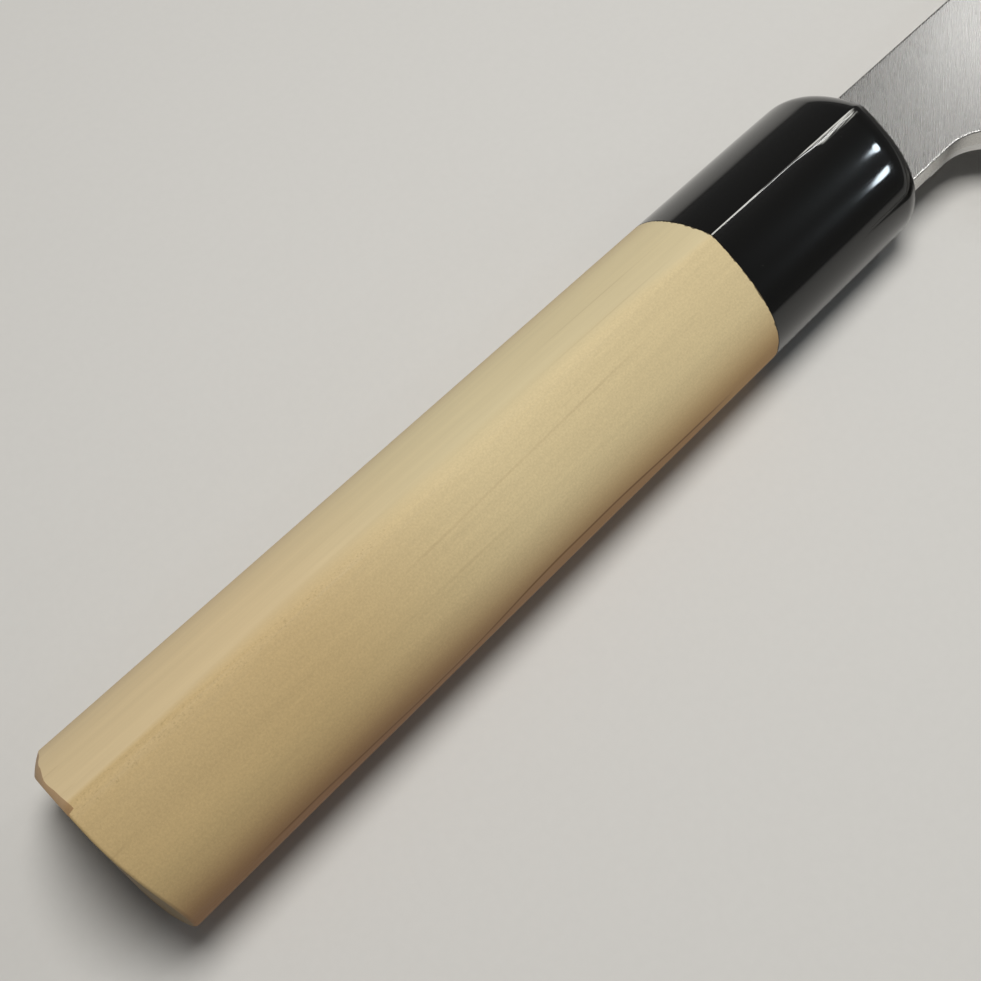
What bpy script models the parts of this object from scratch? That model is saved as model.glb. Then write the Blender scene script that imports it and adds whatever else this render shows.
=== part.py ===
"""Hamokiri knife: a single-bevel blade in a bare wooden handle with a black ferrule.

Metres. +X runs from the butt to the blade's tip, +Y towards the spine, +Z out of the
ground side. The origin is the middle of the butt's flat end.
"""
import math

import bmesh
import bpy
from mathutils import Vector
from mathutils.geometry import interpolate_bezier

# Handle outline, seen along its length. Heights run along Y, depths along Z.
WOOD_LENGTH = 0.0984
JOINT_HEIGHT = 0.0253
BUTT_SPINE_REACH = 0.0130
BUTT_EDGE_REACH = 0.0136
JOINT_RIDGE_RISE = 0.0107
BUTT_RIDGE_RISE = 0.0121
JOINT_BACK_DEPTH = 0.0093
BUTT_BACK_DEPTH = 0.0102
SPINE_SIDE_DROP = 0.0043
EDGE_SIDE_DROP = 0.0015
SPINE_FLANK_SLOPE = 0.34
EDGE_FLANK_SLOPE = 0.31
FLANK_FULLNESS = 0.43
SIDE_FULLNESS = 0.57
BACK_FULLNESS = 0.60
BUTT_ROUND = 0.0007
BUTT_CROWN_START = 0.0025
BUTT_CROWN_DROP = 0.0018

# Ferrule
FERRULE_LENGTH = 0.031
FERRULE_WALL = 0.003
FERRULE_FRONT_WALL = 0.008
SHOULDER_LENGTH = 0.0045
SHOULDER_DEPTH = 0.0044

# Tang, and the slot and bedding that hold it
NECK_HEIGHT = 0.0158
NECK_SPINE_LEVEL = 0.0059
TANG_LENGTH = 0.105
TANG_ROOT_HEIGHT = 0.010
TANG_END_HEIGHT = 0.006
BEDDING_WALL = 0.0009

# Blade
BLADE_LENGTH = 0.270
BLADE_HEIGHT = 0.055
BLADE_THICKNESS = 0.0039
TIP_THICKNESS = 0.0016
EDGE_THICKNESS = 0.0003
NECK_STRAIGHT = 0.0070
CHOIL_RADIUS = 0.0085
BEVEL_WIDTH = 0.027
TIP_DROP = 0.0050
TIP_SPINE_CURVE = 0.075
TIP_BEVEL = 0.012

# How far each curve of the blade holds its first and last direction
EDGE_HEEL_REACH = 0.165
EDGE_HEEL_DIP = 0.0008
EDGE_TIP_REACH = 0.028
EDGE_TIP_RISE = 0.042
BEVEL_HEEL_REACH = 0.140
BEVEL_TIP_REACH = 0.050
BEVEL_TIP_RISE = 0.020
SPINE_TIP_RISE = 0.0037

# Layer of hard steel on the back
EDGE_STEEL_THICKNESS = 0.0012
EDGE_STEEL_SETBACK = 0.004

# Clearance between pieces that fit into one another
FIT_GAP = 0.0003

# How finely curves are divided
OUTLINE_STEPS = 16
ROUND_STEPS = 8
EDGE_STEPS = 28
BEVEL_STEPS = 23
CUT_MARGIN = 0.005

# Places that follow from the sizes
JOINT_X = WOOD_LENGTH
FRONT_X = JOINT_X + FERRULE_LENGTH
SOCKET_END_X = FRONT_X - FERRULE_FRONT_WALL
TENON_END_X = SOCKET_END_X - FIT_GAP
SHOULDER_X = SOCKET_END_X + FIT_GAP
TANG_END_X = FRONT_X - TANG_LENGTH
HEEL_X = FRONT_X + NECK_STRAIGHT + CHOIL_RADIUS
TIP_X = HEEL_X + BLADE_LENGTH
NECK_EDGE_LEVEL = NECK_SPINE_LEVEL - NECK_HEIGHT
HEEL_Y = NECK_SPINE_LEVEL - BLADE_HEIGHT
TIP_Y = NECK_SPINE_LEVEL - TIP_DROP
BACK_Z = -BLADE_THICKNESS / 2
FRONT_Z = BLADE_THICKNESS / 2
POCKET_HEIGHT = TANG_ROOT_HEIGHT + 2 * FIT_GAP
POCKET_DEPTH = BLADE_THICKNESS + 2 * FIT_GAP
BEDDING_HEIGHT = POCKET_HEIGHT + 2 * BEDDING_WALL
BEDDING_DEPTH = POCKET_DEPTH + 2 * BEDDING_WALL
BEDDING_START_X = TANG_END_X - FIT_GAP - BEDDING_WALL
SLOT_START_X = BEDDING_START_X - FIT_GAP


def clear_scene():
    """Remove whatever the scene starts with."""
    for obj in list(bpy.data.objects):
        bpy.data.objects.remove(obj, do_unlink=True)


def make_material(name, colour, roughness, metallic):
    """One plain surface."""
    material = bpy.data.materials.new(name)
    material.use_nodes = True
    shader = material.node_tree.nodes["Principled BSDF"]
    shader.inputs["Base Color"].default_value = (*colour, 1.0)
    shader.inputs["Roughness"].default_value = roughness
    shader.inputs["Metallic"].default_value = metallic
    material.diffuse_color = (*colour, 1.0)
    return material


def make_object(name, bm, material=None):
    """Turn a bmesh into an object with its normals facing out."""
    bmesh.ops.recalc_face_normals(bm, faces=bm.faces)
    mesh = bpy.data.meshes.new(name)
    bm.to_mesh(mesh)
    bm.free()
    obj = bpy.data.objects.new(name, mesh)
    bpy.context.scene.collection.objects.link(obj)
    if material:
        mesh.materials.append(material)
    return obj


def make_cutter(name, bm):
    """A tool body that only shapes other pieces."""
    obj = make_object(name, bm)
    obj.hide_render = True
    obj.display_type = "WIRE"
    return obj


def cut(obj, tool, operation="DIFFERENCE"):
    """Shape a piece with a tool body."""
    modifier = obj.modifiers.new(tool.name, "BOOLEAN")
    modifier.object = tool
    modifier.operation = operation
    modifier.solver = "EXACT"


def shade_round(obj, angle):
    """Smooth shading with creases above an angle in degrees."""
    obj.data.shade_smooth()
    obj.data.set_sharp_from_angle(angle=math.radians(angle))


def loft(rings):
    """Skin a row of closed outlines, point to point, and close both ends."""
    bm = bmesh.new()
    verts = [bm.verts.new(point) for point in rings[0]]
    edges = [bm.edges.new((verts[i - 1], verts[i])) for i in range(len(verts))]
    first = edges
    for ring in rings[1:]:
        made = set(bmesh.ops.extrude_edge_only(bm, edges=edges)["geom"])
        links = [[edge.other_vert(vert) for edge in vert.link_edges] for vert in verts]
        verts = [next(vert for vert in ends if vert in made) for ends in links]
        for vert, point in zip(verts, ring):
            vert.co = point
        edges = [bm.edges.get((verts[i - 1], verts[i])) for i in range(len(verts))]
    bmesh.ops.triangulate(bm, faces=bm.faces[:])
    bmesh.ops.edgeloop_fill(bm, edges=first)
    bmesh.ops.edgeloop_fill(bm, edges=edges)
    return bm


def extrude_outline(points, bottom, top):
    """Raise a flat outline from one level to another."""
    bm = bmesh.new()
    face = bm.faces.new([bm.verts.new((x, y, bottom)) for x, y in points])
    raised = bmesh.ops.extrude_face_region(bm, geom=[face])
    verts = [item for item in raised["geom"] if isinstance(item, bmesh.types.BMVert)]
    bmesh.ops.translate(bm, vec=(0, 0, top - bottom), verts=verts)
    return bm


def block(low, high):
    """A box between two corners."""
    outline = [(low[0], low[1]), (high[0], low[1]), (high[0], high[1]), (low[0], high[1])]
    return extrude_outline(outline, low[2], high[2])


def bezier(start, start_handle, end_handle, end, steps):
    """Points along one curve, without its last point."""
    points = interpolate_bezier(start, start_handle, end_handle, end, steps + 1)
    return [Vector(point) for point in points[:-1]]


def flank(side_y, side_z, slope):
    """Half of the outline's ground side, from the ridge to its widest point."""
    reach = FLANK_FULLNESS * side_y
    ridge = Vector((0, JOINT_RIDGE_RISE))
    leave = Vector((reach, JOINT_RIDGE_RISE - slope * abs(reach)))
    arrive = Vector((side_y, side_z + SIDE_FULLNESS * (JOINT_RIDGE_RISE - side_z)))
    return ridge, leave, arrive, Vector((side_y, side_z))


def back(side_y, side_z):
    """Half of the outline's far side, from its widest point to the middle."""
    leave = Vector((side_y, side_z - BACK_FULLNESS * (side_z + JOINT_BACK_DEPTH)))
    arrive = Vector((BACK_FULLNESS * side_y, -JOINT_BACK_DEPTH))
    return Vector((side_y, side_z)), leave, arrive, Vector((0, -JOINT_BACK_DEPTH))


def joint_outline():
    """The handle's D-shaped outline where wood and ferrule meet, as Y and Z pairs."""
    half = JOINT_HEIGHT / 2
    spine_flank = flank(half, -SPINE_SIDE_DROP, SPINE_FLANK_SLOPE)
    edge_flank = flank(-half, -EDGE_SIDE_DROP, EDGE_FLANK_SLOPE)
    spine_back = back(half, -SPINE_SIDE_DROP)
    edge_back = back(-half, -EDGE_SIDE_DROP)
    points = bezier(*spine_flank, OUTLINE_STEPS)
    points += bezier(*spine_back, OUTLINE_STEPS)
    points += bezier(*reversed(edge_back), OUTLINE_STEPS)
    points += bezier(*reversed(edge_flank), OUTLINE_STEPS)
    return points


def handle_ring(x, inset=0.0):
    """The handle's outline at a place along it, drawn in evenly by an inset."""
    along = 1 - x / WOOD_LENGTH
    half = JOINT_HEIGHT / 2
    spine = half + along * (BUTT_SPINE_REACH - half)
    edge = half + along * (BUTT_EDGE_REACH - half)
    rise = JOINT_RIDGE_RISE + along * (BUTT_RIDGE_RISE - JOINT_RIDGE_RISE)
    depth = JOINT_BACK_DEPTH + along * (BUTT_BACK_DEPTH - JOINT_BACK_DEPTH)
    ring = []
    for point in joint_outline():
        y = point.x * ((spine if point.x > 0 else edge) - inset) / half
        if point.y > 0:
            z = point.y * (rise - inset) / JOINT_RIDGE_RISE
        else:
            z = point.y * (depth - inset) / JOINT_BACK_DEPTH
        ring.append((x, y, z))
    return ring


def butt_ring(x, inset):
    """The outline near the butt, whose end falls back towards its edge side."""
    ring = []
    for along, y, z in handle_ring(x, inset):
        past = max(0.0, -y - BUTT_CROWN_START) / (BUTT_EDGE_REACH - BUTT_CROWN_START)
        ring.append((along + BUTT_CROWN_DROP * past ** 2, y, z))
    return ring


def part_butt_end(bm):
    """Divide the butt's end into its flat and strips that follow the crown."""
    bm.verts.ensure_lookup_table()
    ridge, middle = 4 * OUTLINE_STEPS, 2 * OUTLINE_STEPS
    for step in range(1, OUTLINE_STEPS):
        pair = [bm.verts[ridge - step], bm.verts[middle + step]]
        beyond = [bm.verts[ridge - step - 1], bm.verts[middle + step + 1]]
        if min(vert.co.y for vert in beyond) < -BUTT_CROWN_START:
            bmesh.ops.connect_verts(bm, verts=pair)
    bmesh.ops.triangulate(bm, faces=[face for face in bm.faces if len(face.verts) == 4])


def build_handle_wood(material):
    """Bare wooden body with a tenon at its front and a slot for the tang."""
    rings = []
    for step in range(ROUND_STEPS // 2 + 1):
        turn = step / (ROUND_STEPS // 2) * math.pi / 2
        x = BUTT_ROUND * (1 - math.sin(turn))
        rings.append(butt_ring(x, BUTT_ROUND * (1 - math.cos(turn))))
    rings.reverse()
    rings.append(handle_ring(JOINT_X))
    tenon_inset = FERRULE_WALL + FIT_GAP
    rings.append(handle_ring(JOINT_X, tenon_inset))
    rings.append(handle_ring(TENON_END_X, tenon_inset))
    body = loft(rings)
    part_butt_end(body)
    wood = make_object("handle_wood", body, material)
    shade_round(wood, 25)
    half_height = BEDDING_HEIGHT / 2 + FIT_GAP
    half_depth = BEDDING_DEPTH / 2 + FIT_GAP
    low = (SLOT_START_X, -half_height, -half_depth)
    high = (TENON_END_X + CUT_MARGIN, half_height, half_depth)
    cut(wood, make_cutter("wood_slot_cutter", block(low, high)))
    return wood


def build_ferrule(material):
    """Black cap over the tenon, round-shouldered, with a slot for the blade's neck."""
    rings = [handle_ring(SOCKET_END_X, FERRULE_WALL), handle_ring(JOINT_X, FERRULE_WALL)]
    rings.append(handle_ring(JOINT_X))
    for step in range(ROUND_STEPS + 1):
        turn = step / ROUND_STEPS * math.pi / 2
        x = FRONT_X - SHOULDER_LENGTH * (1 - math.sin(turn))
        rings.append(handle_ring(x, SHOULDER_DEPTH * (1 - math.cos(turn))))
    ferrule = make_object("ferrule", loft(rings), material)
    shade_round(ferrule, 25)
    low = (SOCKET_END_X - FIT_GAP, NECK_EDGE_LEVEL - FIT_GAP, BACK_Z - FIT_GAP)
    high = (FRONT_X + CUT_MARGIN, NECK_SPINE_LEVEL + FIT_GAP, FRONT_Z + FIT_GAP)
    cut(ferrule, make_cutter("ferrule_slot_cutter", block(low, high)))
    return ferrule


def tang_outline(gap=0.0):
    """The tapering tang, from its end to its root, as X and Y pairs."""
    end = TANG_END_HEIGHT / 2 + gap
    root = TANG_ROOT_HEIGHT / 2 + gap
    return [(TANG_END_X - gap, end), (TANG_END_X - gap, -end)], root


def build_tang_bedding(material):
    """Hard resin sleeve that fills the slot and grips the tang."""
    low = (BEDDING_START_X, -BEDDING_HEIGHT / 2, -BEDDING_DEPTH / 2)
    high = (TENON_END_X, BEDDING_HEIGHT / 2, BEDDING_DEPTH / 2)
    bedding = make_object("tang_bedding", block(low, high), material)
    end, root = tang_outline(FIT_GAP)
    pocket = [*end, (TENON_END_X, -root), (TENON_END_X + CUT_MARGIN, -root)]
    pocket += [(TENON_END_X + CUT_MARGIN, root), (TENON_END_X, root)]
    tool = extrude_outline(pocket, -POCKET_DEPTH / 2, POCKET_DEPTH / 2)
    cut(bedding, make_cutter("tang_pocket_cutter", tool))
    return bedding


def edge_handles():
    """The four points that steer the cutting edge in plan, from heel to tip."""
    heel = Vector((HEEL_X, HEEL_Y))
    tip = Vector((TIP_X, TIP_Y))
    leave = heel + Vector((EDGE_HEEL_REACH, -EDGE_HEEL_DIP))
    arrive = tip - Vector((EDGE_TIP_REACH, EDGE_TIP_RISE))
    return heel, leave, arrive, tip


def ridge_handles():
    """The four points that steer the line where the bevel meets the blade's flat."""
    start = Vector((HEEL_X, HEEL_Y + BEVEL_WIDTH))
    end = spine_point(TIP_X - TIP_BEVEL)
    leave = start + Vector((BEVEL_HEEL_REACH, 0))
    arrive = end - Vector((BEVEL_TIP_REACH, BEVEL_TIP_RISE))
    return start, leave, arrive, end


def spine_curve(steps):
    """The last stretch of the spine in plan, from the tip back to where it is straight."""
    tip = Vector((TIP_X, TIP_Y))
    reach = TIP_SPINE_CURVE / 3
    start = Vector((TIP_X - TIP_SPINE_CURVE, NECK_SPINE_LEVEL))
    leave = tip + Vector((-reach, SPINE_TIP_RISE))
    return bezier(tip, leave, start + Vector((reach, 0)), start, steps)


def spine_point(x):
    """The point of the curved spine nearest to a place along the blade."""
    return min(spine_curve(EDGE_STEPS), key=lambda point: abs(point.x - x))


def choil_arc(steps):
    """The hollow corner between neck and heel."""
    points = []
    for step in range(steps + 1):
        turn = step / steps * math.pi / 2
        x = HEEL_X - CHOIL_RADIUS + CHOIL_RADIUS * math.sin(turn)
        y = NECK_EDGE_LEVEL - CHOIL_RADIUS * (1 - math.cos(turn))
        points.append((x, y))
    return points


def front_level(x):
    """Height of the blade's upper flat, which falls evenly from the ferrule to the tip."""
    slope = (BLADE_THICKNESS - TIP_THICKNESS) / (TIP_X - FRONT_X)
    return FRONT_Z - slope * max(0.0, x - FRONT_X)


def blade_blank():
    """Blade, neck and tang in one flat bar that thins towards the tip."""
    end, root = tang_outline()
    outline = [*end, (SHOULDER_X, -root), (SHOULDER_X, NECK_EDGE_LEVEL)]
    outline += choil_arc(ROUND_STEPS)
    outline += [tuple(point) for point in bezier(*edge_handles(), EDGE_STEPS)]
    outline += [tuple(point) for point in spine_curve(ROUND_STEPS)]
    outline += [(TIP_X - TIP_SPINE_CURVE, NECK_SPINE_LEVEL)]
    outline += [(SHOULDER_X, NECK_SPINE_LEVEL), (SHOULDER_X, root)]
    bm = extrude_outline(outline, BACK_Z, FRONT_Z)
    everything = bm.verts[:] + bm.edges[:] + bm.faces[:]
    bmesh.ops.bisect_plane(bm, geom=everything, plane_co=(FRONT_X, 0, 0), plane_no=(1, 0, 0))
    for vert in bm.verts:
        if vert.co.z > 0:
            vert.co.z = front_level(vert.co.x)
    return bm


def bevel_ring(edge, ridge):
    """One outline of the tool that grinds the bevel between an edge and a ridge point."""
    low = Vector((edge.x, edge.y, BACK_Z + EDGE_THICKNESS))
    high = Vector((ridge.x, ridge.y, front_level(ridge.x)))
    overshoot = (low - high).normalized() * CUT_MARGIN
    past = low + overshoot
    above = high - overshoot
    lift = FRONT_Z + CUT_MARGIN
    return [above, past, Vector((past.x, past.y, lift)), Vector((above.x, above.y, lift))]


def run_past(start, leave, arrive, end):
    """Points along a curve, carried on straight beyond both of its ends."""
    line = bezier(start, leave, arrive, end, BEVEL_STEPS)[1:]
    before = start - (leave - start).normalized() * CUT_MARGIN
    after = end + (end - arrive).normalized() * CUT_MARGIN
    return [before, *line, after]


def bevel_tool():
    """The body of steel that grinding takes off the front of the blade."""
    edge = run_past(*edge_handles())
    ridge = run_past(*ridge_handles())
    return loft([bevel_ring(low, high) for low, high in zip(edge, ridge)])


def build_blade(body_material, edge_material):
    """Soft body with its tang, and the hard layer welded to its back."""
    body = make_object("blade_body", blade_blank(), body_material)
    edge = bpy.data.objects.new("edge_steel", body.data.copy())
    bpy.context.scene.collection.objects.link(edge)
    edge.data.materials[0] = edge_material
    grinder = make_cutter("bevel_cutter", bevel_tool())
    low = (FRONT_X + EDGE_STEEL_SETBACK, HEEL_Y - 2 * CUT_MARGIN, BACK_Z - CUT_MARGIN)
    high = (TIP_X + CUT_MARGIN, NECK_SPINE_LEVEL + CUT_MARGIN, BACK_Z + EDGE_STEEL_THICKNESS)
    layer = make_cutter("edge_layer_cutter", block(low, high))
    for piece in (body, edge):
        cut(piece, grinder)
    cut(body, layer)
    cut(edge, layer, "INTERSECT")
    for piece in (body, edge):
        shade_round(piece, 20)


def main():
    clear_scene()
    pale_wood = make_material("pale_wood", (0.72, 0.58, 0.37), 0.62, 0.0)
    black_resin = make_material("black_resin", (0.012, 0.012, 0.013), 0.12, 0.0)
    soft_iron = make_material("soft_iron", (0.56, 0.55, 0.54), 0.34, 1.0)
    hard_steel = make_material("hard_steel", (0.62, 0.62, 0.62), 0.22, 1.0)
    amber_resin = make_material("amber_resin", (0.45, 0.30, 0.12), 0.45, 0.0)
    build_handle_wood(pale_wood)
    build_ferrule(black_resin)
    build_tang_bedding(amber_resin)
    build_blade(soft_iron, hard_steel)


main()
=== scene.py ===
# %% [markdown]
# # A knife for scoring fish bones
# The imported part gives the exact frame: every piece here is in metres, with +X from the
# butt to the tip, +Y towards the spine and +Z out of the ground side. This script puts
# finely made pieces and real finishes round that frame, one cell at a time.

import math

import bmesh
import bpy
from mathutils import Euler, Matrix, Vector
from mathutils.geometry import interpolate_bezier


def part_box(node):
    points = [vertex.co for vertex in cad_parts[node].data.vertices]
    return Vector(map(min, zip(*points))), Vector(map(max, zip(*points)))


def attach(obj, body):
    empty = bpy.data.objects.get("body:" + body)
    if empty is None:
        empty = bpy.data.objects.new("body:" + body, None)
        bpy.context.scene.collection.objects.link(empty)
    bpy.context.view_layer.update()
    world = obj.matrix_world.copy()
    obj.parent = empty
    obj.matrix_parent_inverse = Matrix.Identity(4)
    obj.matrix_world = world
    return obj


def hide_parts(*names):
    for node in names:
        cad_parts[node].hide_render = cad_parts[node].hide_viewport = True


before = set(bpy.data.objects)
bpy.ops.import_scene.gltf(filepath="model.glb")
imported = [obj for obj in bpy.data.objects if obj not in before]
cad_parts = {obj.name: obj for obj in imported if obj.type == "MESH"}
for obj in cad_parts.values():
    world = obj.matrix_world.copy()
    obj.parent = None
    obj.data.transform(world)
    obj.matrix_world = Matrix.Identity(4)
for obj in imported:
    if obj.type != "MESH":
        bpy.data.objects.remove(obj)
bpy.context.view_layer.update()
print("nodes:", sorted(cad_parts))

# %% [markdown]
# ## Camera
# The place, the turn and the focal length come from matching the handle's outlines in the
# photo to the exact part. The knife runs from the lower left to the upper right, and the
# blade leaves the picture just past its neck.

# %% Camera
PICTURE_SIDE = 981
CAMERA_PLACE = (0.00279, -0.05963, 0.15996)
CAMERA_TURN = (26.923, 0.986, -45.759)
FOCAL_PIXELS = 1519
SENSOR_WIDTH = 36

view = bpy.data.cameras.new("photo_view")
view.sensor_width = SENSOR_WIDTH
view.lens = FOCAL_PIXELS / PICTURE_SIDE * SENSOR_WIDTH
view.clip_start = 0.01
camera = bpy.data.objects.new("photo_view", view)
camera.location = CAMERA_PLACE
camera.rotation_euler = Euler([math.radians(turn) for turn in CAMERA_TURN])
bpy.context.scene.collection.objects.link(camera)
bpy.context.scene.camera = camera
print("lens in millimetres:", round(view.lens, 2))

# %% [markdown]
# ## The handle's section
# Handle and ferrule share one D-shaped section with a single ridge on its right side. It
# could be filed by eye from a block, but a closed curve with four knots holds the whole
# shape: the ridge, the widest point towards the spine, the round back, and the widest
# point towards the edge. Only the ridge is a corner.

# %% Section curve
JOINT_HALF = 0.01265
JOINT_RIDGE = 0.0107
JOINT_BACK = 0.0093
SPINE_SIDE_LEVEL = -0.0043
EDGE_SIDE_LEVEL = -0.0015
SPINE_FLANK_SLOPE = 0.34
EDGE_FLANK_SLOPE = 0.31
FLANK_REACH = 0.43
SIDE_REACH = 0.57
BACK_REACH = 0.60
SECTION_STEPS = 26


def section_knots():
    """Place, handle before and handle after for each knot, as Y and Z pairs."""
    half, ridge, back = JOINT_HALF, JOINT_RIDGE, JOINT_BACK
    spine, edge = SPINE_SIDE_LEVEL, EDGE_SIDE_LEVEL
    reach = FLANK_REACH * half
    top = (0, ridge)
    to_edge = (-reach, ridge - EDGE_FLANK_SLOPE * reach)
    to_spine = (reach, ridge - SPINE_FLANK_SLOPE * reach)
    spine_up = (half, spine + SIDE_REACH * (ridge - spine))
    spine_down = (half, spine - BACK_REACH * (spine + back))
    edge_up = (-half, edge + SIDE_REACH * (ridge - edge))
    edge_down = (-half, edge - BACK_REACH * (edge + back))
    under_spine = (BACK_REACH * half, -back)
    under_edge = (-BACK_REACH * half, -back)
    return [
        (top, to_edge, to_spine),
        ((half, spine), spine_up, spine_down),
        ((0, -back), under_spine, under_edge),
        ((-half, edge), edge_down, edge_up),
    ]


def curve_mesh(name, knots, steps, closed):
    """A flat curve through knots, turned into a mesh of edges."""
    curve = bpy.data.curves.new(name, "CURVE")
    curve.dimensions = "2D"
    curve.fill_mode = "NONE"
    curve.resolution_u = steps
    spline = curve.splines.new("BEZIER")
    spline.bezier_points.add(len(knots) - 1)
    spline.use_cyclic_u = closed
    for point, (place, before, after) in zip(spline.bezier_points, knots):
        point.handle_left_type = point.handle_right_type = "FREE"
        point.co = (*place, 0)
        point.handle_left = (*before, 0)
        point.handle_right = (*after, 0)
    holder = bpy.data.objects.new(name, curve)
    mesh = bpy.data.meshes.new_from_object(holder)
    bpy.data.objects.remove(holder)
    bpy.data.curves.remove(curve)
    return mesh


section = curve_mesh("handle_section", section_knots(), SECTION_STEPS, True)
section.transform(Matrix(((0, 0, 1), (1, 0, 0), (0, 1, 0))).to_4x4())
print("section points:", len(section.vertices))

# %% [markdown]
# ## Rings along the handle
# A tapering handle is a row of such sections. Each ring is extruded from the one before
# and then scaled to the height, rise and depth that the handle has there, so every ring
# keeps its points in line and the skin never twists. Extra points beside the ridge let it
# be rounded over by an amount that can change along the handle, as sanding leaves it.

# %% Ring tools
WOOD_LENGTH = 0.0984
BUTT_SPINE_REACH = 0.0130
BUTT_EDGE_REACH = 0.0136
BUTT_RIDGE = 0.0121
BUTT_BACK = 0.0102
# Each side of a ring: its axis, its way along it, and its reach at the joint and the butt.
RING_SIDES = (
    (1, 1, JOINT_HALF, BUTT_SPINE_REACH),
    (1, -1, JOINT_HALF, BUTT_EDGE_REACH),
    (2, 1, JOINT_RIDGE, BUTT_RIDGE),
    (2, -1, JOINT_BACK, BUTT_BACK),
)
RIDGE_BAND = 0.0018
RIDGE_CUTS = 5
SAME_PLACE = 1e-7
CREASE_ANGLE = 28


def picked(made, kind):
    """The items of one kind among what an operator made."""
    return [item for item in made["geom"] if isinstance(item, kind)]


def start_ring(bm):
    """Put the section into a mesh, with extra points beside the ridge."""
    bm.from_mesh(section)
    bmesh.ops.remove_doubles(bm, verts=bm.verts[:], dist=SAME_PLACE)
    beside = [edge for edge in bm.edges
              if all(abs(v.co.y) < RIDGE_BAND and v.co.z > 0 for v in edge.verts)]
    bmesh.ops.subdivide_edges(bm, edges=beside, cuts=RIDGE_CUTS)
    return bm.edges[:]


def ring_points(edges):
    """The points of a ring."""
    return list(dict.fromkeys(vert for edge in edges for vert in edge.verts))


def place_ring(bm, edges, x, inset=0.0):
    """Give a ring its place along the handle, its size there, and an even inset."""
    verts = ring_points(edges)
    along = 1 - x / WOOD_LENGTH
    for axis, way, at_joint, at_butt in RING_SIDES:
        side = [vert for vert in verts if vert.co[axis] * way > 0]
        reach_now = max(vert.co[axis] * way for vert in side)
        size = [1, 1, 1]
        size[axis] = (at_joint + along * (at_butt - at_joint) - inset) / reach_now
        bmesh.ops.scale(bm, vec=size, verts=side)
    for vert in verts:
        vert.co.x = x


def next_ring(bm, edges, x, inset=0.0):
    """Extrude a ring and place the new one."""
    made = bmesh.ops.extrude_edge_only(bm, edges=edges)
    fresh = set(picked(made, bmesh.types.BMVert))
    ring = [edge for edge in picked(made, bmesh.types.BMEdge)
            if edge.verts[0] in fresh and edge.verts[1] in fresh]
    place_ring(bm, ring, x, inset)
    return ring


def eased(share):
    """A share from 0 to 1 that starts and ends gently."""
    share = min(1.0, max(0.0, share))
    return share * share * (3 - 2 * share)


def soften_ridge(verts, widths_at):
    """Round the ridge over, as far as each of two widths: towards the edge, and the spine."""
    for vert in verts:
        edge_width, spine_width = widths_at(vert.co.x)
        width = edge_width if vert.co.y < 0 else spine_width
        if vert.co.z > 0 and abs(vert.co.y) < width:
            most = (SPINE_FLANK_SLOPE + EDGE_FLANK_SLOPE) / 2 / (1 / edge_width + 1 / spine_width)
            vert.co.z -= most * (1 - abs(vert.co.y) / width) ** 2


def finish_piece(name, bm, sharp_angle=CREASE_ANGLE, merge=SAME_PLACE):
    """Make a smooth-shaded object of a mesh, with creases above an angle."""
    bmesh.ops.remove_doubles(bm, verts=bm.verts[:], dist=merge)
    bmesh.ops.recalc_face_normals(bm, faces=bm.faces[:])
    mesh = bpy.data.meshes.new(name)
    bm.to_mesh(mesh)
    bm.free()
    mesh.shade_smooth()
    mesh.set_sharp_from_angle(angle=math.radians(sharp_angle))
    piece = bpy.data.objects.new(name, mesh)
    bpy.context.scene.collection.objects.link(piece)
    print(name, "faces:", len(mesh.polygons))
    return piece


# %% [markdown]
# ## Handle of bare wood
# The real handle is one block of pale magnolia, sanded but not varnished. It has a tenon
# under the ferrule and a slot for the tang. The skin starts at the butt, runs to the
# ferrule, steps in to the tenon, and turns into the slot, so the piece is one closed body.
# The butt was sanded by hand: its end falls back towards the edge side, and its rim is
# cut back from the ridge to the spine side, most at the corner there. Its rings follow both.

# %% Handle of bare wood
FERRULE_LENGTH = 0.031
FERRULE_WALL = 0.003
FERRULE_FRONT_WALL = 0.008
FIT_GAP = 0.0003
JOINT_EASE = 0.00008
WOOD_RINGS = 24
WOOD_RIDGE_FRONT = 0.0005
WOOD_RIDGE_BACK = 0.0015
WOOD_RIDGE_OPENS = 0.018
CROWN_START = 0.0025
CROWN_DROP = 0.0018
RIM_EASE = 0.00036
# How far the rim is sanded away, by the angle round the handle: 0 is the spine side and 90
# is the ridge.
SANDED_RIM = ((-35, 0.00036), (-18, 0.0009), (0, 0.0023), (25, 0.0019), (43, 0.0011),
              (63, 0.0005), (77, 0.0007), (91, 0.0009))
SANDED_MOST = 0.0026
SANDED_FLAT = 0.8
RIM_STEPS = 6
END_INSETS = (0.0097, 0.0085, 0.0065, 0.0048, 0.0033)
SLOT_START = 0.0229
SLOT_HALF_HEIGHT = 0.0065
SLOT_HALF_DEPTH = 0.00345
FRONT_X = WOOD_LENGTH + FERRULE_LENGTH
SOCKET_END = FRONT_X - FERRULE_FRONT_WALL
TENON_END = SOCKET_END - FIT_GAP
SIDE_START = CROWN_DROP + SANDED_MOST
SIDE_END = WOOD_LENGTH - JOINT_EASE


def slot_mouth(bm):
    """The slot's rectangle in the tenon's end, as edges."""
    flat = Matrix.Rotation(math.pi / 2, 4, "Y")
    made = bmesh.ops.create_grid(bm, x_segments=1, y_segments=1, size=1, matrix=flat)
    verts = made["verts"]
    bmesh.ops.scale(bm, vec=(1, SLOT_HALF_HEIGHT, SLOT_HALF_DEPTH), verts=verts)
    bmesh.ops.translate(bm, vec=(TENON_END, 0, 0), verts=verts)
    face = verts[0].link_faces[0]
    edges = face.edges[:]
    bmesh.ops.delete(bm, geom=[face], context="FACES_ONLY")
    return edges


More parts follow.
